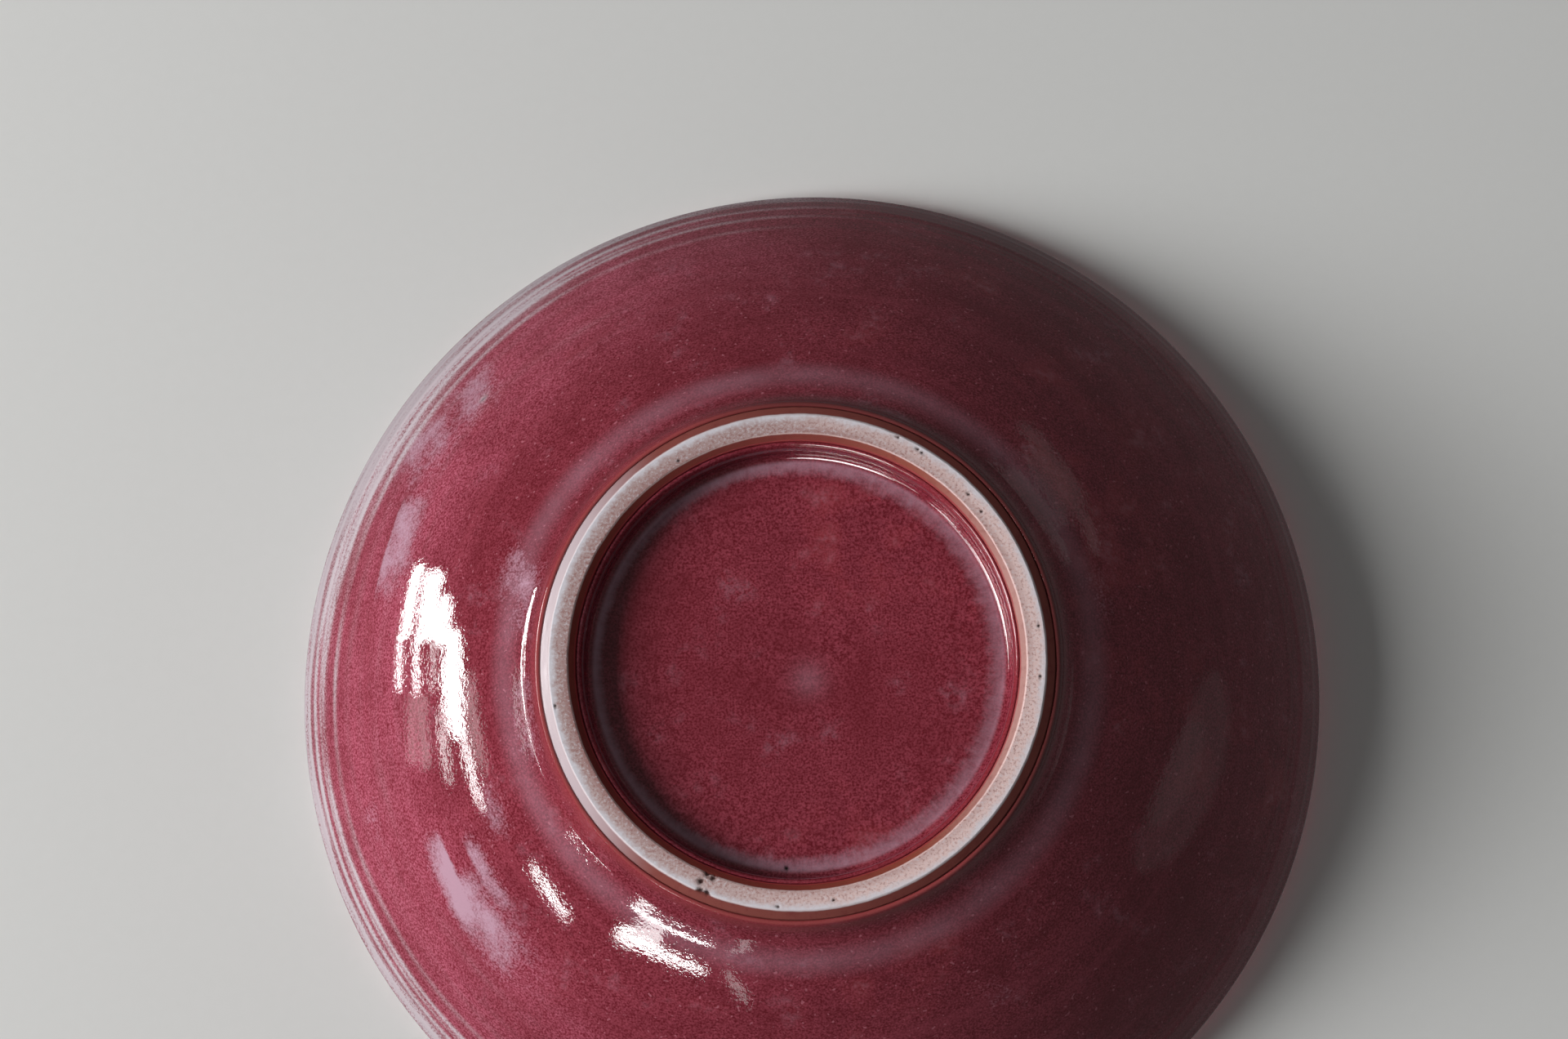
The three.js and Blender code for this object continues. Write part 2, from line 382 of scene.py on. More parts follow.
class Section:
    """Half section of the clay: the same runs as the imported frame, in finer steps"""

    def __init__(self):
        self.s = s = sizes()
        self.lip_radius = s.lip_thickness / 2 - s.lip_glaze - s.clearance
        lip_inset = s.lip_thickness / 2
        self.lip_centre = Vector((s.diameter / 2 - lip_inset, s.height - lip_inset))
        self.lip_seam = s.clearance / (2 * self.lip_radius)
        face_outer = s.foot_diameter / 2
        face_inner = face_outer - s.face_width
        self.face_outer = Vector((face_outer, 0))
        self.face_inner = Vector((face_inner, 0))
        self.outer_bevel = Vector((face_outer + s.outer_bevel_width, s.outer_bevel_height))
        self.inner_bevel = Vector((face_inner - s.inner_bevel_width, s.inner_bevel_height))
        self.foot_up = Vector((math.sin(s.foot_flare), math.cos(s.foot_flare)))
        side = (s.foot_height - self.outer_bevel.y) / self.foot_up.y
        corner = self.outer_bevel + self.foot_up * side
        belly_out = direction(s.belly_slope)
        self.foot_hollow = fillet(corner, self.foot_up, belly_out, s.foot_fillet, BEND_STEP)
        self.belly_start = self.foot_hollow[-1]
        self.well_down = Vector((math.sin(s.well_draft), -math.cos(s.well_draft)))
        well_side = (s.inner_bevel_height - s.well_depth) / self.well_down.y
        self.well_corner = self.inner_bevel - self.well_down * well_side
        disc_out = Vector((self.well_corner.x, -s.well_crown)).normalized()
        bend = (self.well_corner, disc_out, self.well_down, s.well_fillet)
        self.well_hollow = fillet(*bend, WELL_HOLLOW_STEP)

    def wall_circle(self, start, touch):
        """Circle that leaves a point at the belly's slope and touches the lip's outer side
        (touch 1) or its inner side (touch -1)"""
        slope = self.s.belly_slope
        left = direction(slope + math.pi / 2)
        chord = self.lip_centre - start - left * touch * self.lip_radius
        reach = chord.length_squared / (2 * chord.dot(left))
        radius = reach + touch * self.lip_radius
        centre = start + left * radius
        spoke = self.lip_centre - centre
        return centre, radius, slope - math.pi / 2, math.atan2(spoke.y, spoke.x)

    def outside(self):
        """From the glaze edge on the foot over the belly to the lip's crown"""
        edge = self.outer_bevel + self.foot_up * self.s.glaze_setback
        centre, radius, start, lip = self.wall_circle(self.belly_start, 1)
        ringed = lip - RINGED_LENGTH / radius
        crown = math.pi / 2 - self.lip_seam
        return joined(
            line(edge, self.foot_hollow[0], EDGE_STEP),
            self.foot_hollow,
            arc(centre, radius, start, ringed, BELLY_STEP),
            arc(centre, radius, ringed, lip, RINGED_STEP),
            arc(self.lip_centre, self.lip_radius, lip, crown, BEND_STEP),
        )

    def inside(self):
        """From the lip's crown down the wall to the middle of the floor"""
        s = self.s
        floor = s.well_depth + s.well_crown + s.floor_thickness
        beside = self.belly_start + direction(s.belly_slope + math.pi / 2) * s.wall_thickness
        centre, radius, start, lip = self.wall_circle(beside, -1)
        apart = radius - s.inside_sweep
        sweep_height = floor + s.inside_sweep
        across = math.sqrt(apart**2 - (centre.y - sweep_height) ** 2)
        sweep_centre = Vector((centre.x + across, sweep_height))
        spoke = sweep_centre - centre
        meet = math.atan2(spoke.y, spoke.x)
        crown = math.pi / 2 + self.lip_seam
        foot = sweep_centre - Vector((0, s.inside_sweep))
        return joined(
            arc(self.lip_centre, self.lip_radius, crown, lip + math.pi, BEND_STEP),
            arc(centre, radius, lip, meet, INSIDE_STEP),
            arc(sweep_centre, s.inside_sweep, meet, -math.pi / 2, INSIDE_STEP),
            line(foot, Vector((0, floor)), FLOOR_STEP),
        )

    def well(self):
        """From the middle of the disc inside the foot down to its inner bevel"""
        s = self.s
        middle = Vector((0, s.well_depth + s.well_crown))
        edge = self.inner_bevel - self.well_down * s.glaze_setback
        return joined(
            line(middle, self.well_hollow[0], DISC_STEP),
            self.well_hollow,
            line(self.well_hollow[-1], edge, EDGE_STEP),
        )

    def bare_foot(self):
        """Worn corners and flats of the foot, from the glaze in the well to the glaze outside"""
        wear = self.s.corner_wear
        corners = [self.inner_bevel, self.face_inner, self.face_outer, self.outer_bevel]
        start = self.inner_bevel - self.well_down * self.s.glaze_setback
        end = self.outer_bevel + self.foot_up * self.s.glaze_setback
        stops = [start, *corners, end]
        runs = []
        last = start
        for before, corner, after in zip(stops, corners, stops[2:]):
            incoming = (corner - before).normalized()
            outgoing = (after - corner).normalized()
            bend = fillet(corner, incoming, outgoing, wear, WORN_STEP)
            runs += [line(last, bend[0], BARE_STEP), bend]
            last = bend[-1]
        runs.append(line(last, end, BARE_STEP))
        return joined(*runs)


class Row:
    """One ring of vertices: its point on the section, the way out of the surface and the way
    along it, its distance along the run, and whether it is on the side that shows"""

    def __init__(self, point, out, along, shows):
        self.point = point
        self.out = out
        self.way = Vector((-out.y, out.x))
        self.along = along
        self.shows = shows


def sparse(points):
    """Numbers of the points at least a hidden gap apart, with the first and the last"""
    lengths = running_lengths(points)
    kept = [0]
    for i, reached in enumerate(lengths):
        if reached - lengths[kept[-1]] >= HIDDEN_GAP and lengths[-1] - reached >= HIDDEN_GAP / 2:
            kept.append(i)
    return [*kept, len(points) - 1]


def rows_along(run, kept, depth_at, shows):
    """Rows at the kept points of a run of the clay, raised by the depth there"""
    lengths = running_lengths(run)
    outs = sideways(run)
    return [Row(run[i] + outs[i] * depth_at(lengths[i]), outs[i], lengths[i], shows) for i in kept]


def clay_rows(run, bare):
    """Rows of the clay along a run, all of its points where it is bare"""
    kept = range(len(run)) if bare else sparse(run)[:-1]
    return rows_along(run, kept, lambda along: 0, bare)


def coat_rows(run, depth_at):
    """Rows of a closed coat over a run of the clay: fine in front and coarse against the clay"""
    clearance = sizes().clearance
    front = rows_along(run, range(len(run)), lambda along: clearance + depth_at(along), True)
    back = rows_along(run, reversed(sparse(run)), lambda along: clearance, False)
    return back + front if run[-1].x == 0 else front + back


def bead(along):
    """Depth of a coat that swells from its edge in a quarter round"""
    s = sizes()
    share = min(along / s.edge_bead, 1)
    return s.edge_thickness + (s.glaze - s.edge_thickness) * math.sqrt(1 - (1 - share) ** 2)


def thinned(below_lip):
    """Depth of a coat that runs thin towards the lip"""
    s = sizes()
    return s.lip_glaze + (s.glaze - s.lip_glaze) * smoothstep(0, s.lip_thinning, below_lip)


def pool(distance):
    s = sizes()
    return s.pool_depth * (1 - smoothstep(0, s.pool_length, abs(distance)))


def middle_of(run, part):
    """Distance along a run to the middle of a part of it"""
    centre = part[len(part) // 2]
    gaps = [(point - centre).length for point in run]
    return running_lengths(run)[gaps.index(min(gaps))]


# Meshes


def round_noise(azimuth, turns, height):
    """Smooth noise from -1 to 1 that closes on itself round the bowl"""
    return noise.noise(turned(Vector((turns, height)), azimuth))


def patches(place, size):
    """Smooth noise from -1 to 1 in patches of a size in mm"""
    return noise.noise(place / (size * MM))


def spun(rows, closed):
    """Closed shell of revolution whose vertices know their row"""
    shell = bmesh.new()
    row_layer = shell.verts.layers.int.new("row")
    chain = []
    for i, row in enumerate(rows):
        vert = shell.verts.new((row.point.x, 0, row.point.y))
        vert[row_layer] = i
        chain.append(vert)
    pairs = list(zip(chain, chain[1:]))
    if closed:
        pairs.append((chain[-1], chain[0]))
    edges = [shell.edges.new(pair) for pair in pairs]
    turn_round(shell, chain + edges, sizes().segments)
    return shell


def turn_round(shell, outline, segments):
    """Spins an outline through one sector, then copies that round the axis"""
    sector = math.tau / SECTORS
    bmesh.ops.spin(
        shell,
        geom=outline,
        cent=(0, 0, 0),
        axis=(0, 0, 1),
        dvec=(0, 0, 0),
        angle=sector,
        steps=segments // SECTORS,
        use_merge=False,
        use_duplicate=False,
    )
    span = sector
    while span < math.tau - sector / 2:
        copied = bmesh.ops.duplicate(shell, geom=shell.verts[:] + shell.edges[:] + shell.faces[:])
        verts = [part for part in copied["geom"] if isinstance(part, bmesh.types.BMVert)]
        turn = Matrix.Rotation(span, 3, "Z")
        bmesh.ops.rotate(shell, cent=(0, 0, 0), matrix=turn, verts=verts)
        span *= 2
    bmesh.ops.remove_doubles(shell, verts=shell.verts, dist=SAME_PLACE)
    bmesh.ops.recalc_face_normals(shell, faces=shell.faces)


def azimuths(shell):
    """Each vertex with its azimuth, which is a whole number of segments"""
    step = math.tau / sizes().segments
    for vert in shell.verts:
        yield vert, round(math.atan2(vert.co.y, vert.co.x) / step) * step


def raised(shell, rows, relief):
    """Moves each vertex out of and along its row by what the relief gives there"""
    row_layer = shell.verts.layers.int["row"]
    for vert, azimuth in azimuths(shell):
        row = rows[vert[row_layer]]
        out, along = relief(row, azimuth)
        vert.co += turned(row.out * out + row.way * along, azimuth)


def marked(shell, rows, name, value_at):
    """Paints a number from 0 to 1 on each vertex that shows, for the material to read"""
    row_layer = shell.verts.layers.int["row"]
    layer = shell.verts.layers.float.new(name)
    for vert, azimuth in azimuths(shell):
        row = rows[vert[row_layer]]
        if row.shows:
            vert[layer] = value_at(row, azimuth)


def marked_edge(shell, rows, total=None):
    """Paints the distance to the edge of a coat as a share of a set reach"""

    def share(row, azimuth):
        distance = row.along if total is None else total - row.along
        return min(distance / EDGE_REACH, 1)

    marked(shell, rows, "edge", share)


def refined(shell, spots):
    """Cuts the faces within reach of any spot finer, each of them once"""
    near = [
        vert
        for vert in shell.verts
        if any((vert.co - centre).length_squared < reach**2 for centre, reach in spots)
    ]
    inside = set(near)
    edges = dict.fromkeys(
        edge for vert in near for edge in vert.link_edges if edge.other_vert(vert) in inside
    )
    bmesh.ops.subdivide_edges(shell, edges=list(edges), cuts=PIT_CUTS, use_grid_fill=True)


def wobbled(shell):
    """Slight unevenness of a thrown wall: most at the lip, none at the foot, never outwards"""
    height = sizes().height
    for vert, azimuth in azimuths(shell):
        share = smoothstep(WOBBLE_FROM, height, vert.co.z)
        if share == 0:
            continue
        inwards = share * WOBBLE_INWARDS * (1 + round_noise(azimuth, 1.1, 3.7))
        drop = share * WOBBLE_DROP * (1 + round_noise(azimuth, 0.9, 8.2))
        radius = math.hypot(vert.co.x, vert.co.y)
        if radius > 0:
            vert.co.x *= 1 - inwards / radius
            vert.co.y *= 1 - inwards / radius
        vert.co.z -= drop


def added(name, data):
    """A new object of the scene, at the origin"""
    made = bpy.data.objects.new(name, data)
    bpy.context.scene.collection.objects.link(made)
    return made


def smooth_object(name, shell, material):
    mesh = bpy.data.meshes.new(name)
    for face in shell.faces:
        face.smooth = True
    shell.to_mesh(mesh)
    shell.free()
    mesh.materials.append(material)
    return added(name, mesh)


def placed(name, shell, material, node):
    """Makes the shell a piece that stands for a node of the frame"""
    piece = smooth_object(name, shell, material)
    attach(piece, "root")
    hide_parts(node)
    return piece


# Places in the photograph


def row_to_camera():
    """Turns the bowl's frame into the camera's: right, down and ahead"""
    return Matrix.Rotation(-stage().lean, 3, "X") @ Matrix.Rotation(stage().swing, 3, "Y")


def lens_place():
    """Where the lens is in the bowl's frame"""
    ray = picture_ray(FOOT_CENTRE_PX).normalized()
    return row_to_camera().transposed() @ (-stage().foot_distance * ray)


def picture_ray(pixel):
    """Way to a pixel in the camera's frame, one unit ahead"""
    focal_px = stage().focal / SENSOR_WIDTH * PICTURE_WIDTH
    right = pixel[0] - PICTURE_WIDTH / 2
    down = pixel[1] - PICTURE_HEIGHT / 2
    return Vector((right / focal_px, down / focal_px, 1))


def on_level(pixel, height):
    """Place at a height of the bowl that a pixel shows"""
    lens = lens_place()
    ray = row_to_camera().transposed() @ picture_ray(pixel)
    return lens + ray * ((height - lens.z) / ray.z)


def on_coat(pixel, rows):
    """Place on a coat that a pixel shows"""
    misses = {}
    for row in rows:
        if row.shows:
            place = on_level(pixel, row.point.y)
            misses[abs(math.hypot(place.x, place.y) - row.point.x)] = place
    return misses[min(misses)]


# Shader nodes


def operator(operation, swapped=False):
    """Method of a wire that joins it and another value in a Math node"""

    def method(wire, other):
        first, second = (other, wire) if swapped else (wire, other)
        return wire.web.math(operation, first, second)

    return method


class Wire:
    """One output of a node; Python's operators on it add Math nodes"""

    __add__ = operator("ADD")
    __radd__ = operator("ADD", swapped=True)
    __sub__ = operator("SUBTRACT")
    __rsub__ = operator("SUBTRACT", swapped=True)
    __mul__ = operator("MULTIPLY")
    __rmul__ = operator("MULTIPLY", swapped=True)
    __truediv__ = operator("DIVIDE")

    def __init__(self, web, socket):
        self.web = web
        self.socket = socket

    def __abs__(self):
        return self.web.node("Math", {"operation": "ABSOLUTE"}, {0: self})

    def smooth(self, low, high):
        """Smooth step from 0 at low to 1 at high, or the other way round where high is lower"""
        start, end = (low, high) if low < high else (high, low)
        targets = {"To Min": 0.0, "To Max": 1.0} if low < high else {"To Min": 1.0, "To Max": 0.0}
        steps = {"Value": self, "From Min": start, "From Max": end, **targets}
        return self.web.node("MapRange", {"interpolation_type": "SMOOTHSTEP"}, steps)

    def near(self, centre, width):
        """1 at the centre, falling smoothly to 0 at the width"""
        return abs(self - centre).smooth(width, 0)


class Web:
    """The nodes of one material or world"""

    def __init__(self, tree):
        self.tree = tree
        tree.nodes.clear()

    def node(self, kind, settings=None, inputs=None, output=0):
        made = self.tree.nodes.new("ShaderNode" + kind)
        for name, value in (settings or {}).items():
            setattr(made, name, value)
        for key, value in (inputs or {}).items():
            if isinstance(value, Wire):
                self.tree.links.new(value.socket, made.inputs[key])
            else:
                made.inputs[key].default_value = value
        return Wire(self, made.outputs[output]) if len(made.outputs) > 0 else None

    def math(self, operation, first, second):
        return self.node("Math", {"operation": operation}, {0: first, 1: second})

    def higher(self, first, second):
        return self.math("MAXIMUM", first, second)

    def place(self):
        return self.node("TexCoord", output="Object")

    def part(self, axis):
        """X, Y or Z of the place"""
        return self.node("SeparateXYZ", None, {0: self.place()}, axis)

    def radius(self):
        square = self.part("X") * self.part("X") + self.part("Y") * self.part("Y")
        return self.node("Math", {"operation": "SQRT"}, {0: square + AXIS_GUARD})

    def noise(self, scale, detail=2.0, roughness=0.5, place=None):
        place = place or self.place()
        inputs = {"Vector": place, "Scale": scale, "Detail": detail, "Roughness": roughness}
        return self.node("TexNoise", {"noise_dimensions": "3D"}, inputs)

    def streaks(self, turns, stretch, roughness=0.55, detail=3.0):
        """Noise in rings or streaks: turns sets how many patches lie round the bowl, and
        stretch how many lie along a metre of its radius"""
        radius = self.radius()
        x = self.part("X") / radius * turns
        y = self.part("Y") / radius * turns
        place = self.node("CombineXYZ", None, {0: x, 1: y, 2: radius * stretch})
        return self.noise(1.0, detail, roughness, place)

    def mark(self, name):
        """A number that was painted on the mesh"""
        return self.node("Attribute", {"attribute_name": name}, None, "Fac")

    def mix(self, first, second, share):
        """A colour between two, each a wire or a plain colour"""
        sides = [c if isinstance(c, Wire) else rgba(c) for c in (first, second)]
        settings = {"data_type": "RGBA", "blend_type": "MIX", "clamp_factor": True}
        return self.node("Mix", settings, {0: share, 6: sides[0], 7: sides[1]}, 2)

    def layered(self, colour, layers):
        """A colour with others over it, each with its share"""
        for above, share in layers:
            colour = self.mix(colour, above, share)
        return colour

    def bump(self, height):
        """Normal of a relief whose height is in metres"""
        return self.node("Bump", None, {"Strength": 1.0, "Distance": 1.0, "Height": height})

    def surface(self, base, roughness, height, specular=0.5, coat=0.0):
        inputs = {
            "Base Color": base,
            "Roughness": roughness,
            "Normal": self.bump(height),
            "IOR": GLASS_IOR,
            "Specular IOR Level": specular,
            "Coat Weight": coat,
            "Coat Roughness": COAT_ROUGHNESS,
        }
        shader = self.node("BsdfPrincipled", None, inputs)
        self.node("OutputMaterial", None, {"Surface": shader})


def new_material(name):
    material = bpy.data.materials.new(name)
    material.use_nodes = True
    return material, Web(material.node_tree)


class GlazeBody:
    """What every coat of the copper red glaze has: its clouds, grains and orange peel"""

    def __init__(self, web):
        c = colours()
        self.grain = web.noise(GRAIN, 1.0)
        self.mottle = web.noise(MOTTLE, 3.0, 0.6)
        self.speck = web.noise(SPECK, 2.0, 0.6)
        self.cloud = web.noise(CLOUD, 3.0, 0.55)
        self.drift = web.noise(DRIFT, 2.0)
        self.share = (self.grain * 0.85 + self.mottle * 0.15).smooth(0.28, 0.74)
        deeper = self.cloud.smooth(0.56, 0.34) * 0.25 + self.drift.smooth(0.6, 0.35) * 0.25
        warmer = self.drift.smooth(0.5, 0.7) * self.cloud.smooth(0.45, 0.7) * 0.5
        misty = self.cloud.smooth(0.55, 0.75) * self.mottle.smooth(0.35, 0.65) * 0.2
        grains = web.mix(c.freckle, c.rose, self.share)
        self.colour = web.layered(grains, ((c.deep, deeper), (c.coral, warmer), (c.milk, misty)))
        self.roughness = 0.02 + self.mottle * 0.03
        peel = web.noise(PEEL, 1.0)
        self.height = self.grain * (0.0065 * MM) + peel * (0.013 * MM)


def outer_glaze_material():
    material, web = new_material("outer_glaze")
    c = colours()
    body = GlazeBody(web)
    brush = web.streaks(3.2, 620)
    band = web.streaks(1.1, 330)
    wisp = web.streaks(7, 110)
    bubbles = web.noise(BUBBLES, 0.0).smooth(0.76, 0.82)
    # Painted light: the -X side of the belly is painted in paler grains, standing in for the side
    # light that strikes it
    painted_light = web.mark("painted_light") * (0.8 + (wisp - 0.5) * 0.9 + (band - 0.5) * 1.2)
    ragged = (wisp - 0.5) * 0.5 + (body.grain - 0.5) * 0.7 + (body.speck - 0.5) * 0.6
    haze = (web.mark("haze") * 1.35 + ragged - 0.2).smooth(0, 0.9) * 0.92
    ring = web.radius().near(HOLLOW_RING, HOLLOW_RING_WIDTH) * (0.05 + wisp * 0.3)
    uneven = (brush - 0.5) * 2.4 + (body.grain - 0.5) * 1.6
    pale = web.mark("thin") * (0.85 + uneven) + web.mark("ridge") * (0.55 + wisp + uneven)
    edge = web.mark("edge") * EDGE_REACH
    # Painted shade: the coat by its edge on the foot is darkened on the +X and -Y sides, where the
    # foot's hollow lies in shadow
    painted_shade_side = (web.part("X") * 0.85 - web.part("Y") * 0.5).smooth(0, 24 * MM)
    layers = (
        (c.deep, band.smooth(0.52, 0.72) * 0.35),
        (c.rose, band.smooth(0.48, 0.3) * 0.3),
        (c.bubble, bubbles * 0.45),
        (web.mix(c.painted_light_wine, c.painted_light_pink, body.share), painted_light.smooth(0, 1)),
        (c.milk, web.higher(haze, ring)),
        (c.lip, pale.smooth(0.02, 1.0) * 0.92),
        (c.coral, edge.smooth(4.2 * MM, 1.4 * MM) * 0.5),
        (c.edge, edge.smooth(0.5 * MM, 0.15 * MM) * 0.6),
        (c.pit_dark_and_shade, painted_shade_side * edge.smooth(4 * MM, 1 * MM) * 0.5),
        (c.lip, web.mark("halo") * 0.7),
        (c.pit_dark_and_shade, web.mark("pit")),
    )
    web.surface(web.layered(body.colour, layers), body.roughness, body.height)
    return material


def inner_glaze_material():
    material, web = new_material("inner_glaze")
    c = colours()
    body = GlazeBody(web)
    streak = web.streaks(30, 90, 0.6)
    milky = web.mark("swirl") * (streak * 0.8 + body.speck * 0.4 - 0.5)
    thin = web.part("Z").smooth(50 * MM, 63.5 * MM) * (0.25 + streak * 0.5 + body.speck * 0.4)
    layers = ((c.milk, milky), (c.lip, thin.smooth(0.25, 1.15)))
    web.surface(web.layered(body.colour, layers), body.roughness, body.height)
    return material


def well_glaze_material():
    material, web = new_material("well_glaze")
    c = colours()
    body = GlazeBody(web)
    radius = web.radius()
    x = web.part("X")
    fine_streak = web.streaks(60, 260, 0.65)
    band = web.streaks(0.4, 700, 0.5, 2.0)
    reach = x.smooth(-38 * MM, 30 * MM) * 0.5 + 0.5
    inwards = (0.8 * MM + fine_streak * (2.4 * MM) + body.mottle * (3.0 * MM)) * reach
    outer_side = (radius - WELL_RING).smooth(0.9 * MM, 0.0)
    ring = outer_side * ((WELL_RING - radius) / inwards).smooth(1.0, 0.0)
    # Painted light: the milky ring is painted stronger on the -X side, where the well lies in
    # shade, standing in for fill light
    ring = ring * (0.64 - reach * 0.62 + body.mottle * 0.9 + fine_streak * 0.5)
    by_edge = (web.mark("edge") * EDGE_REACH).smooth(5 * MM, 2 * MM)
    layers = (
        (c.deep, band.smooth(0.5, 0.7) * 0.25),
        (c.milk, web.higher(web.mark("haze"), ring) * 0.6),
        (c.coral, by_edge * x.smooth(-20 * MM, 36 * MM) * 0.4),
        (c.pit_dark_and_shade, web.mark("pit")),
    )
    web.surface(web.layered(body.colour, layers), body.roughness, body.height)
    return material


def clay_material():
    material, web = new_material("bare_stoneware")
    c = colours()
    x = web.part("X")
    y = web.part("Y")
    z = web.part("Z")
    radius = web.radius()
    grain = web.noise(CLAY_GRAIN, 3.0, 0.65)
    grog = web.noise(GROG, 3.0, 0.6)
    cloud = web.noise(CLAY_CLOUD, 3.0, 0.6)
    drift = web.noise(DRIFT, 2.0)
    lines = web.streaks(1.2, 2600, 0.6)
    face_width = sizes().face_width
    face_inner = sizes().foot_diameter / 2 - face_width
    across = (radius - face_inner) / face_width
    inner = radius.smooth(face_inner + 0.3 * MM, face_inner - 0.3 * MM)
    bevel = z.smooth(0.1 * MM, 0.35 * MM)
    flashed = across.smooth(0.55, 0.0) * (0.1 + drift.smooth(0.35, 0.7) * 0.5)
    burnt = grain.smooth(0.5, 0.36) * (1 - across * 0.7)
    bloom = (across + (cloud - 0.5) * 0.7 + (grog - 0.5) * 0.6).smooth(0.55, 1.05)
    # Inner bevel: sienna, creamier towards +X, and darkened to deep maroon towards -X as painted
    # shade, where that bevel lies in shadow
    inner_iron_and_shade = web.mix(c.sienna, c.cream_and_highlight, x.smooth(20 * MM, 40 * MM) * 0.3)
    inner_iron_and_shade = web.mix(inner_iron_and_shade, c.deep, x.smooth(26 * MM, -10 * MM) * 0.45)
    dark = drift.smooth(0.5, 0.75) * 0.35 + grog.smooth(0.5, 0.75) * 0.3
    bevel_iron_and_shade = web.mix(web.mix(c.brick, inner_iron_and_shade, inner), c.deep, dark)
    # On the -X side the outer bevel carries a thin coat, and the same mask paints it pale lilac as
    # a painted reflection of the window
    glazed = bevel * (1 - inner) * x.smooth(-24 * MM, -42 * MM)
    layers = (
        (c.brick, web.higher(flashed, burnt * 0.7)),
        (c.ash, grain.smooth(0.52, 0.66) * 0.4),
        (c.ash, bloom * 0.75),
        (bevel_iron_and_shade, bevel),
        (c.lip, glazed * 0.75),
        # Pale line along the face's worn corners: partly pale worn clay, partly a painted highlight
        # on the rounded corners, stronger on the inner corner
        (c.cream_and_highlight, z.near(0.14 * MM, 0.14 * MM) * (0.35 + inner * 0.4)),
        (c.coral, inner * z.smooth(0.95 * MM, 1.15 * MM) * 0.85),
        (c.pit_dark_and_shade, web.mark("pit") * 0.9),
    )
    toasted = web.mix(c.toast, c.cream_and_highlight, (x * 14 + y * 4 + drift).smooth(0, 1.1))
    colour = web.layered(toasted, layers)
    height = (grain * (0.03 * MM) + grog * (0.04 * MM)) * (1 - bevel * 0.8) + lines * (0.02 * MM)
    web.surface(colour, 0.6 + grain * 0.15, height, specular=0.15, coat=glazed * 0.9)
    return material


# Pieces


def pitted(shell, pits):
    """Sinks small holes; each has its place, its radius and its depth"""
    layer = shell.verts.layers.float["pit"]
    refined(shell, [(centre, 3.2 * radius) for centre, radius, depth in pits])
    for centre, radius, depth in pits:
        shell.normal_update()
        near = [vert for vert in shell.verts if (vert.co - centre).length < 2.4 * radius]
        for vert in near:
            ragged = 1 + 0.35 * patches(vert.co, 0.35)
            sunk = bell((vert.co - centre).length * ragged, radius)
            vert[layer] = max(vert[layer], min(1, 1.3 * sunk))
            vert.co -= vert.normal * (depth * sunk)


def smear_at(place, start, end, width, sharp, share):
    """Strength at a place of a smear between two ends, with a sharp edge on one side"""
    run = end - start
    along = (place - start).dot(run) / run.length_squared
    off = place - start - run * along
    aside = math.copysign(off.length, run.cross(off).z) / width
    across = 1 - smoothstep(0.8, 1.05, aside * sharp) if aside * sharp > 0 else bell(aside, 1)
    return share * across * smoothstep(-0.15, 0.2, along) * (1 - smoothstep(0.5, 1.2, along))


def wavy_edge(along, azimuth, seed):
    """Share from -1 to 1 by which the edge of a coat strays along the clay"""
    stray = 0.7 * round_noise(azimuth, 4, seed) + 0.3 * round_noise(azimuth, 17, seed + 5)
    return stray * (1 - smoothstep(0, 3 * MM, along))


def build_clay_body():
    """The clay: fine where the foot is bare, coarse under the glaze"""
    section = Section()
    rows = clay_rows(section.well(), False) + clay_rows(section.bare_foot(), True)
    rows += clay_rows(section.outside(), False) + clay_rows(section.inside(), False)
    shell = spun(rows, False)

    def relief(row, azimuth):
        if not row.shows or row.point.y < 0.02 * MM:
            return 0, 0
        place = turned(row.point, azimuth)
        wear = 0.03 * MM * patches(place, 2.3) + 0.02 * MM * patches(place, 0.7)
        return min(wear, row.point.y), 0

    raised(shell, rows, relief)
    shell.verts.layers.float.new("pit")
    pits = [(on_level(pixel, 0), *FACE_PIT) for pixel in FACE_PITS_PX]
    pits += [(on_level(pixel, 0), *SCAR_PIT) for pixel in SCAR_PITS_PX]
    pitted(shell, pits)
    for vert in shell.verts:
        vert.co.z = max(vert.co.z, 0)
    return placed("clay_body_fired", shell, clay_material(), "clay_body")


def outer_rows():
    """Rows of the outer coat, with its length from the glaze edge to the lip's outermost bend"""
    section = Section()
    run = section.outside()
    hollow = middle_of(run, section.foot_hollow)
    roll = section.lip_radius * (math.pi / 2 - section.lip_seam)
    wall = running_lengths(run)[-1] - roll

    def depth_at(along):
        return min(bead(along), thinned(max(wall - along, 0))) + pool(along - hollow)

    return coat_rows(run, depth_at), wall


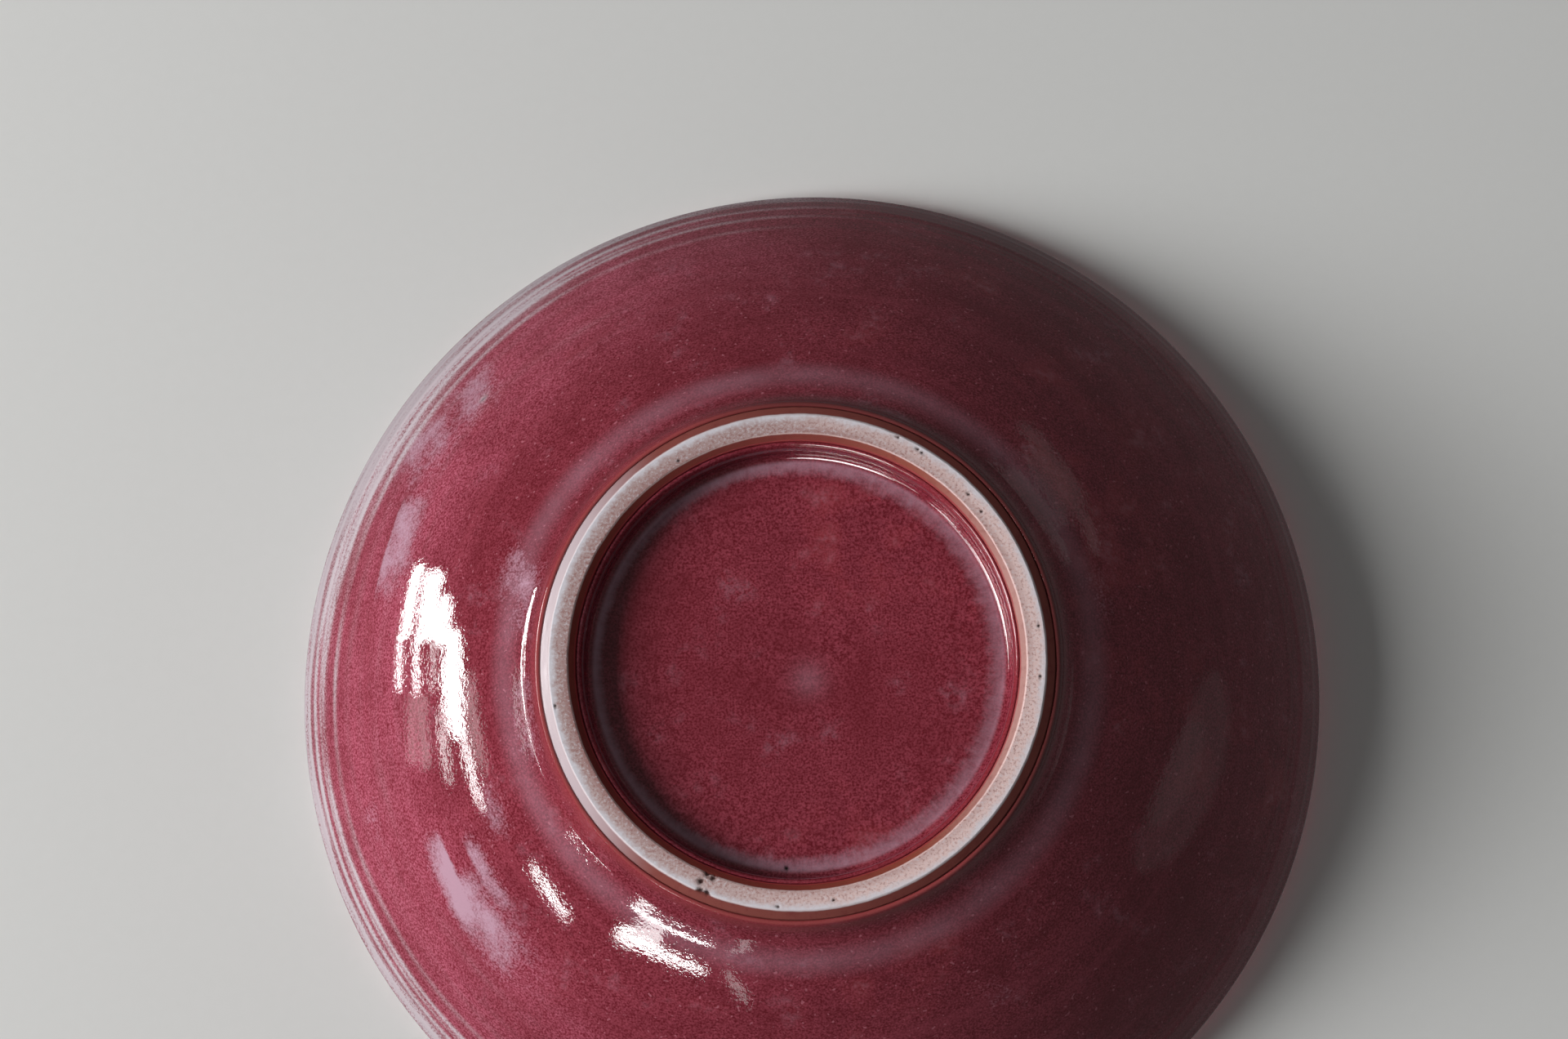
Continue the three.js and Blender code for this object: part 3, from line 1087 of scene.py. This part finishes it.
def build_outer_glaze():
    """The outer coat, with its throwing rings, its pool round the foot and its wavy edge"""
    s = sizes()
    rows, wall = outer_rows()

    @functools.cache
    def left_side(azimuth):
        """1 on the -X side, where the belly is painted lighter and the pale band and rings are
        stronger, 0 opposite
        """
        turn = math.cos(azimuth - PALER_SIDE)
        return smoothstep(-0.1, 0.75, turn + 0.2 * round_noise(azimuth, 2.5, 4.4))

    @functools.cache
    def rings(azimuth):
        """Way down, half width and strength of each throwing ring at an azimuth"""
        squeeze = 1 + 0.1 * math.cos(azimuth - CLOSE_RINGS_SIDE) + 0.05 * round_noise(azimuth, 2, 1)
        found = []
        for i, (centre, width, share) in enumerate(THROWING_RINGS):
            stray = 0.5 * MM * round_noise(azimuth, 2.2, 3.5 * i)
            fade = 0.75 + 0.35 * round_noise(azimuth, 3.1, 1.7 * i + 9)
            found.append(((centre * MM + stray) / squeeze, width * MM, share * fade))
        return found

    def ring_at(row, azimuth):
        below = wall - row.along
        parts = [share * bell(below - centre, width) for centre, width, share in rings(azimuth)]
        return min(sum(parts), 1)

    def relief(row, azimuth):
        along = WAVY_EDGE * wavy_edge(row.along, azimuth, 2)
        if not row.shows:
            return 0, along
        place = turned(row.point, azimuth)
        below = wall - row.along
        out = s.ring_height * ring_at(row, azimuth) * smoothstep(0, 3 * MM, below)
        calm = smoothstep(0, 4 * MM, row.along) * smoothstep(-1 * MM, 5 * MM, below)
        out += calm * 0.014 * MM * patches(place, 14)
        ripple = smoothstep(0.2, 0.9, math.cos(azimuth - RIPPLED_SIDE))
        ripple *= bell(row.point.x - 55 * MM, 6 * MM)
        out += calm * ripple * 0.04 * MM * patches(place, 5)
        return out, along

    shell = spun(rows, True)
    raised(shell, rows, relief)
    smears = [
        (on_coat(start, rows), on_coat(end, rows), width * MM, sharp, share)
        for start, end, width, sharp, share in HAZE_PX
    ]

    @functools.cache
    def upper_share(azimuth):
        return bell(math.remainder(azimuth - UPPER_SIDE, math.tau), 0.45)

    @functools.cache
    def pale_side(azimuth):
        """Strength and reach of the pale band below the lip"""
        upper = upper_share(azimuth)
        lower = bell(math.remainder(azimuth - LOWER_SIDE, math.tau), 0.5)
        stray = 1 + 0.3 * round_noise(azimuth, 5, 7)
        return 0.1 + 0.95 * left_side(azimuth), (5.6 + 3.5 * upper + 3 * lower) * MM * stray

    def thin_at(row, azimuth):
        below = max(wall - row.along, 0)
        strength, reach = pale_side(azimuth)
        rim = 1 - smoothstep(0.45 * reach, reach, below)
        wide = (0.14 + 0.7 * upper_share(azimuth)) * (1 - smoothstep(reach, reach + 15 * MM, below))
        return strength * max(rim, wide)

    # Painted light: paler grains on the -X side of the belly, from 58 mm out, where the side light
    # falls
    def painted_light_at(row, azimuth):
        cloud = 0.5 * patches(turned(row.point, azimuth), 11)
        outwards = smoothstep(58 * MM, 82 * MM, row.point.x)
        return min(1, max(0, left_side(azimuth) * outwards * (0.95 + cloud)))

    def ridge_at(row, azimuth):
        return ring_at(row, azimuth) * (0.08 + 0.92 * left_side(azimuth))

    def haze_at(row, azimuth):
        place = turned(row.point, azimuth)
        cloud = 1 + 0.5 * patches(place, 5)
        return min(1, max(smear_at(place, *smear) for smear in smears) * cloud)

    marks = {"thin": thin_at, "ridge": ridge_at, "painted_light": painted_light_at, "haze": haze_at}
    for name, value_at in marks.items():
        marked(shell, rows, name, value_at)
    marked_edge(shell, rows)
    shell.verts.layers.float.new("pit")
    halo = shell.verts.layers.float.new("halo")
    hole = on_coat(PINHOLE_PX, rows)
    pitted(shell, [(hole, *PINHOLE)])
    for vert in shell.verts:
        vert[halo] = bell((vert.co - hole).length, 0.9 * MM)
    wobbled(shell)
    return placed("outer_glaze_coat", shell, outer_glaze_material(), "outer_glaze")


def build_inner_glaze():
    """The inner coat, with the spiral that the potter's fingers left"""
    section = Section()
    run = section.inside()
    roll = section.lip_radius * (math.pi / 2 - section.lip_seam)
    rows = coat_rows(run, lambda along: thinned(max(along - roll, 0)))
    total = running_lengths(run)[-1]

    def spiral(row, azimuth):
        """-1 to 1 across the ridges of one long spiral from the lip to the floor's middle"""
        turns = (total - row.along) / SPIRAL_PITCH + azimuth / math.tau
        stray = 0.25 * round_noise(azimuth, 1.5, row.along * 60)
        return math.sin(math.tau * (turns + stray))

    def relief(row, azimuth):
        if not row.shows:
            return 0, 0
        calm = smoothstep(3 * MM, 16 * MM, row.along) * smoothstep(0, 12 * MM, row.point.x)
        place = turned(row.point, azimuth)
        swell = 0.05 * MM * spiral(row, azimuth) + 0.03 * MM * patches(place, 16)
        return calm * swell, 0

    def swirl(row, azimuth):
        calm = smoothstep(3 * MM, 16 * MM, row.along)
        return calm * smoothstep(0.1, 1, spiral(row, azimuth))

    shell = spun(rows, False)
    raised(shell, rows, relief)
    marked(shell, rows, "swirl", swirl)
    wobbled(shell)
    return placed("inner_glaze_coat", shell, inner_glaze_material(), "inner_glaze")


def build_well_glaze():
    """The coat inside the foot, cut off from the outer one by the bare ring"""
    section = Section()
    run = section.well()
    total = running_lengths(run)[-1]
    hollow = middle_of(run, section.well_hollow)

    def depth_at(along):
        """The well hangs over in the kiln, so its coat ran out of the hollow towards the foot"""
        ran_off = 0.55 * (1 - smoothstep(0, 5 * MM, abs(along - hollow)))
        return bead(total - along) * (1 - ran_off)

    rows = coat_rows(run, depth_at)

    def relief(row, azimuth):
        along = -WAVY_EDGE * wavy_edge(total - row.along, azimuth, 6)
        reach = bell(azimuth - STRAY_EDGE_SIDE, 0.25)
        along -= 0.3 * MM * reach * (1 - smoothstep(0, 3 * MM, total - row.along))
        if not row.shows:
            return 0, along
        calm = smoothstep(0, 8 * MM, row.point.x) * smoothstep(0, 3 * MM, total - row.along)
        return calm * 0.03 * MM * patches(turned(row.point, azimuth), 13), along

    shell = spun(rows, False)
    raised(shell, rows, relief)
    spot = on_coat(WELL_SPOT_PX, rows)

    def haze_at(row, azimuth):
        return 0.3 * bell((turned(row.point, azimuth) - spot).length, 3 * MM)

    marked_edge(shell, rows, total)
    marked(shell, rows, "haze", haze_at)
    shell.verts.layers.float.new("pit")
    pitted(shell, [(on_coat(WELL_PIT_PX, rows), *WELL_PIT)])
    return placed("well_glaze_coat", shell, well_glaze_material(), "well_glaze")


# Stage

# The floor is flat to the stage's radius and then sweeps up to its top; the wall is the level
# sheet behind the bowl that the photograph's camera sees
STAGE_RADIUS = 2.6
SWEEP_RADIUS = 0.5
SWEEP_STEPS = 12
STAGE_TOP = 1.6
STAGE_SEGMENTS = 96
FLOOR_HEIGHT = -0.05 * MM
FLOOR_RADII = (0, 0.3, 1)
FLOOR_GLOWS_FROM = 0.4
WALL_HEIGHT = 66.5 * MM
WALL_RADIUS = 0.5
WALL_GLOWS_FROM = 5.0
# Share of its start's radius at which the glow is full, and the fibres in the paper
GLOW_FULL = 2.2
FIBRE_COLOUR = (0.8, 0.8, 0.8)
FIBRE_SHARE = 0.12
CAMERA_CLIP = 0.01

# Lamps that the outer glaze mirrors, each given by its reflection in the photograph: the middles
# of its two ends, a point on its side, its strength as a share, and its shape
WINDOW_PX = (
    ((516, 692), (497, 779), (497.5, 734), 1.0, "RECTANGLE"),
    ((533, 700), (523, 783), (536, 743), 1.0, "RECTANGLE"),
    ((547, 728), (540, 792), (552, 760), 0.8, "ELLIPSE"),
    ((491, 776), (489, 846), (486.5, 811), 1.0, "RECTANGLE"),
    ((512, 779), (510, 850), (508, 815), 1.0, "RECTANGLE"),
    ((532, 778), (530, 845), (529, 811), 0.8, "RECTANGLE"),
    ((504, 852), (507, 935), (499, 893), 0.05, "RECTANGLE"),
    ((517, 852), (524, 940), (513, 896), 0.06, "RECTANGLE"),
)
STRIP_PX = (
    ((557, 768), (562, 905), (567, 836), 0.9, "ELLIPSE"),
    ((566, 880), (594, 994), (572, 936), 0.6, "ELLIPSE"),
    ((540, 862), (553, 962), (540, 914), 0.3, "ELLIPSE"),
    ((577, 820), (596, 950), (577, 885), 0.09, "ELLIPSE"),
    ((648, 1055), (699, 1125), (674.5, 1088), 0.8, "ELLIPSE"),
    ((770, 1106), (866, 1190), (826, 1138), 0.9, "ELLIPSE"),
    ((776, 1106), (814, 1142), (788, 1129), 0.4, "ELLIPSE"),
    ((888, 1186), (918, 1230), (897, 1212), 0.1, "ELLIPSE"),
)
PANEL_PX = (
    ((1250, 516), (1310, 690), (1306, 596), 0.3, "ELLIPSE"),
    ((1256, 550), (1300, 650), (1293, 596), 0.3, "ELLIPSE"),
    ((1490, 822), (1390, 1066), (1480, 970), 0.13, "ELLIPSE"),
    ((1470, 880), (1412, 1010), (1462, 955), 0.1, "ELLIPSE"),
)
# Lamps close below the foot that only the hollow in the well mirrors: the pixel of their light,
# then azimuth, elevation, width and height in degrees, and radiance
LOW_LAMPS = (
    ((1085, 578), 113, -28, 27, 20, 26),
    ((1190, 650), 145, -22, 10, 16, 14),
    ((1236, 790), 175, -19, 34, 13, 26),
    ((1236, 790), 174, -34, 26, 24, 15),
)
LOW_SPOT_HEIGHT = 6 * MM
LOW_REACH = 80 * MM
LOW_SPREAD = math.radians(70)
# Square lamps: name, side, distance, direction from the bowl and the rays that miss them
SOFT_LAMPS = (
    ("key", 0.6, 1.3, (-0.82, 0.08, -0.58), "visible_glossy"),
    ("top", 1.3, 1.5, (-0.22, 0.26, 0.94), "visible_glossy"),
    ("sheen", 0.5, 2.2, (-0.22, 0.26, 0.94), "visible_diffuse"),
)


def stage_material(name, glows_from):
    """Pale paper that only the camera sees, and only on its front; the part that is far away
    shines by itself, so that the stage is plain to its edge"""
    material, web = new_material(name)
    c = colours()
    camera = web.node("LightPath", None, None, "Is Camera Ray")
    back = web.node("NewGeometry", None, None, "Backfacing")
    fibre = web.noise(PAPER, 2.0)
    paper = web.mix(c.wall, FIBRE_COLOUR, fibre * FIBRE_SHARE)
    matt = web.node("BsdfDiffuse", None, {"Color": paper, "Roughness": 0.5})
    glow = web.node("Emission", None, {"Color": rgba(c.wall), "Strength": 1.0})
    far = web.radius().smooth(glows_from, glows_from * GLOW_FULL)
    near_or_far = web.node("MixShader", None, {0: far, 1: matt, 2: glow})
    clear = web.node("BsdfTransparent")
    shown = web.node("MixShader", None, {0: camera * (1 - back), 1: clear, 2: near_or_far})
    web.node("OutputMaterial", None, {"Surface": shown})
    return material


def stage_disc(name, profile, material, up):
    """Round sheet of the stage whose faces look up or down"""
    shell = bmesh.new()
    chain = [shell.verts.new((r, 0, z)) for r, z in profile]
    edges = [shell.edges.new(pair) for pair in zip(chain, chain[1:])]
    turn_round(shell, chain + edges, STAGE_SEGMENTS)
    if (sum(face.normal.z for face in shell.faces) > 0) != up:
        bmesh.ops.reverse_faces(shell, faces=shell.faces)
    smooth_object(name, shell, material)


def lamp(name, width, height, radiance, shape, spread=math.pi):
    """Flat lamp that shines along its own -Z and looks as bright as its radiance in the coat"""
    light = bpy.data.lights.new(name, "AREA")
    light.shape = shape
    light.size = width
    light.size_y = height
    area = width * height * (math.pi / 4 if shape == "ELLIPSE" else 1)
    light.energy = 4 * radiance * area
    if spread < math.pi:
        light.spread = spread
        light.energy *= 1 - (spread / 2) / math.tan(spread / 2)
    made = added(name, light)
    made.visible_camera = False
    return made


def aimed(made, towards, distance):
    """Moves a lamp off in a direction and turns it back, with its width level"""
    away = towards.normalized()
    made.location += away * distance
    made.rotation_euler = away.to_track_quat("Z", "Y").to_euler()


def mirrored(pixel, rows):
    """Point one metre off that the coat mirrors towards the lens at a pixel"""
    place = on_coat(pixel, rows)
    front = [row.point for row in rows if row.shows]
    radius = math.hypot(place.x, place.y)
    gaps = [abs(point.x - radius) + abs(point.y - place.z) for point in front]
    i = gaps.index(min(gaps))
    run = front[i + 1] - front[i - 1]
    azimuth = math.atan2(place.y, place.x)
    out = turned(Vector((run.y, -run.x)), azimuth).normalized()
    ray = (place - lens_place()).normalized()
    return place + ray - 2 * ray.dot(out) * out


def seen_lamp(name, rows, start_px, end_px, side_px, radiance, shape):
    """Lamp whose reflection in the coat reaches from one pixel to another"""
    start, end, side = [mirrored(pixel, rows) for pixel in (start_px, end_px, side_px)]
    centre = (start + end) / 2
    long_way = (end - start).normalized()
    off = side - centre
    width = 2 * (off - off.dot(long_way) * long_way).length
    away = (centre - long_way * centre.dot(long_way)).normalized()
    axes = Matrix((long_way, away.cross(long_way), away)).transposed()
    made = lamp(name, (end - start).length, width, radiance, shape)
    made.matrix_world = Matrix.Translation(centre) @ axes.to_4x4()
    made.visible_diffuse = False


def low_lamp(name, pixel, azimuth, elevation, width, height, radiance):
    """Small lamp below the foot, so close that only the hollow of the well mirrors it; the
    hollow turns its rays round, so that the lamp is as wide as it looks from the bowl's axis"""
    spot = on_level(pixel, LOW_SPOT_HEIGHT)
    azimuth, elevation, width, height = [
        math.radians(value) for value in (azimuth, elevation, width, height)
    ]
    beyond = LOW_REACH - math.hypot(spot.x, spot.y)
    sides = (2 * beyond * math.tan(width / 2), 2 * LOW_REACH * math.tan(height / 2))
    made = lamp(name, *sides, radiance, "ELLIPSE", LOW_SPREAD)
    made.location = spot
    aimed(made, turned(direction(elevation), azimuth), LOW_REACH)
    made.visible_diffuse = False


def build_lamps():
    rows = outer_rows()[0]
    for name, table in (("window", WINDOW_PX), ("strip", STRIP_PX), ("panel", PANEL_PX)):
        for i, (start, end, side, share, shape) in enumerate(table):
            radiance = getattr(stage(), name) * share
            seen_lamp(f"{name}_{i}", rows, start, end, side, radiance, shape)
    for i, low in enumerate(LOW_LAMPS):
        low_lamp(f"low_{i}", *low)
    for name, side, distance, towards, missed_by in SOFT_LAMPS:
        made = lamp(name, side, side, getattr(stage(), name), "RECTANGLE")
        aimed(made, Vector(towards), distance)
        setattr(made, missed_by, False)


def build_camera():
    lens = bpy.data.cameras.new("camera")
    lens.sensor_fit = "HORIZONTAL"
    lens.sensor_width = SENSOR_WIDTH / MM
    lens.lens = stage().focal / MM
    lens.clip_start = CAMERA_CLIP
    camera = added("camera", lens)
    turn = row_to_camera()
    axes = Matrix((turn[0], -turn[1], -turn[2])).transposed()
    camera.matrix_world = Matrix.Translation(lens_place()) @ axes.to_4x4()
    bpy.context.scene.camera = camera


def build_world():
    world = bpy.data.worlds.new("room")
    bpy.context.scene.world = world
    world.use_nodes = True
    web = Web(world.node_tree)
    plain = {"Color": rgba((1, 1, 1)), "Strength": stage().room}
    room = web.node("Background", None, plain)
    web.node("OutputWorld", None, {"Surface": room})


def build_stage():
    """Floor, backdrop, lamps, room light and the camera of the photograph"""
    flat = [(radius, FLOOR_HEIGHT) for radius in FLOOR_RADII]
    sweep = []
    for i in range(SWEEP_STEPS + 1):
        turn = direction(math.pi / 2 * i / SWEEP_STEPS)
        sweep.append((STAGE_RADIUS + SWEEP_RADIUS * turn.y, SWEEP_RADIUS * (1 - turn.x)))
    top = (STAGE_RADIUS + SWEEP_RADIUS, STAGE_TOP)
    floor_paper = stage_material("floor_paper", FLOOR_GLOWS_FROM)
    stage_disc("floor", [*flat, *sweep, top], floor_paper, up=True)
    wall = [(0, WALL_HEIGHT), (WALL_RADIUS, WALL_HEIGHT)]
    stage_disc("back_wall", wall, stage_material("wall_paper", WALL_GLOWS_FROM), up=False)
    build_lamps()
    build_world()
    build_camera()
    bpy.context.scene.view_settings.view_transform = "Standard"


# Add-on


class BuildStep:
    """What the operators share: each runs one of the functions above"""

    def execute(self, context):
        self.build()
        return {"FINISHED"}


class BOWL_OT_clay_body(BuildStep, bpy.types.Operator):
    """Make the clay body with its bare, turned foot"""

    bl_idname = "bowl.clay_body"
    bl_label = "Clay Body"
    build = staticmethod(build_clay_body)


class BOWL_OT_outer_glaze(BuildStep, bpy.types.Operator):
    """Make the coat of glaze on the outside"""

    bl_idname = "bowl.outer_glaze"
    bl_label = "Outer Glaze"
    build = staticmethod(build_outer_glaze)


class BOWL_OT_inner_glaze(BuildStep, bpy.types.Operator):
    """Make the coat of glaze on the inside"""

    bl_idname = "bowl.inner_glaze"
    bl_label = "Inner Glaze"
    build = staticmethod(build_inner_glaze)


class BOWL_OT_well_glaze(BuildStep, bpy.types.Operator):
    """Make the coat of glaze in the well of the foot"""

    bl_idname = "bowl.well_glaze"
    bl_label = "Well Glaze"
    build = staticmethod(build_well_glaze)


class BOWL_OT_stage(BuildStep, bpy.types.Operator):
    """Set up the floor, the backdrop, the lamps and the camera"""

    bl_idname = "bowl.stage"
    bl_label = "Stage"
    build = staticmethod(build_stage)


class BOWL_PT_panel(bpy.types.Panel):
    """Lists the pieces of the bowl and its stage"""

    bl_idname = "BOWL_PT_panel"
    bl_label = "Ramen Bowl"
    bl_space_type = "VIEW_3D"
    bl_region_type = "UI"
    bl_category = "Ramen Bowl"

    def draw(self, context):
        for step in OPERATORS:
            self.layout.operator(step.bl_idname)
        scene = context.scene
        for group in (scene.bowl_sizes, scene.bowl_colours, scene.stage_settings):
            box = self.layout.box()
            for name in group.bl_rna.properties.keys():
                if name not in ("rna_type", "name"):
                    box.prop(group, name, text=name.replace("_", " ").capitalize())


OPERATORS = (
    BOWL_OT_clay_body,
    BOWL_OT_outer_glaze,
    BOWL_OT_inner_glaze,
    BOWL_OT_well_glaze,
    BOWL_OT_stage,
)
CLASSES = (BowlSizes, BowlColours, StageSettings, *OPERATORS, BOWL_PT_panel)


def register():
    for kind in CLASSES:
        bpy.utils.register_class(kind)
    bpy.types.Scene.bowl_sizes = PointerProperty(type=BowlSizes)
    bpy.types.Scene.bowl_colours = PointerProperty(type=BowlColours)
    bpy.types.Scene.stage_settings = PointerProperty(type=StageSettings)


def unregister():
    del bpy.types.Scene.stage_settings
    del bpy.types.Scene.bowl_colours
    del bpy.types.Scene.bowl_sizes
    for kind in reversed(CLASSES):
        bpy.utils.unregister_class(kind)


def main():
    register()
    bpy.ops.bowl.clay_body()
    bpy.ops.bowl.outer_glaze()
    bpy.ops.bowl.inner_glaze()
    bpy.ops.bowl.well_glaze()
    bpy.ops.bowl.stage()


if __name__ == "__main__":
    main()
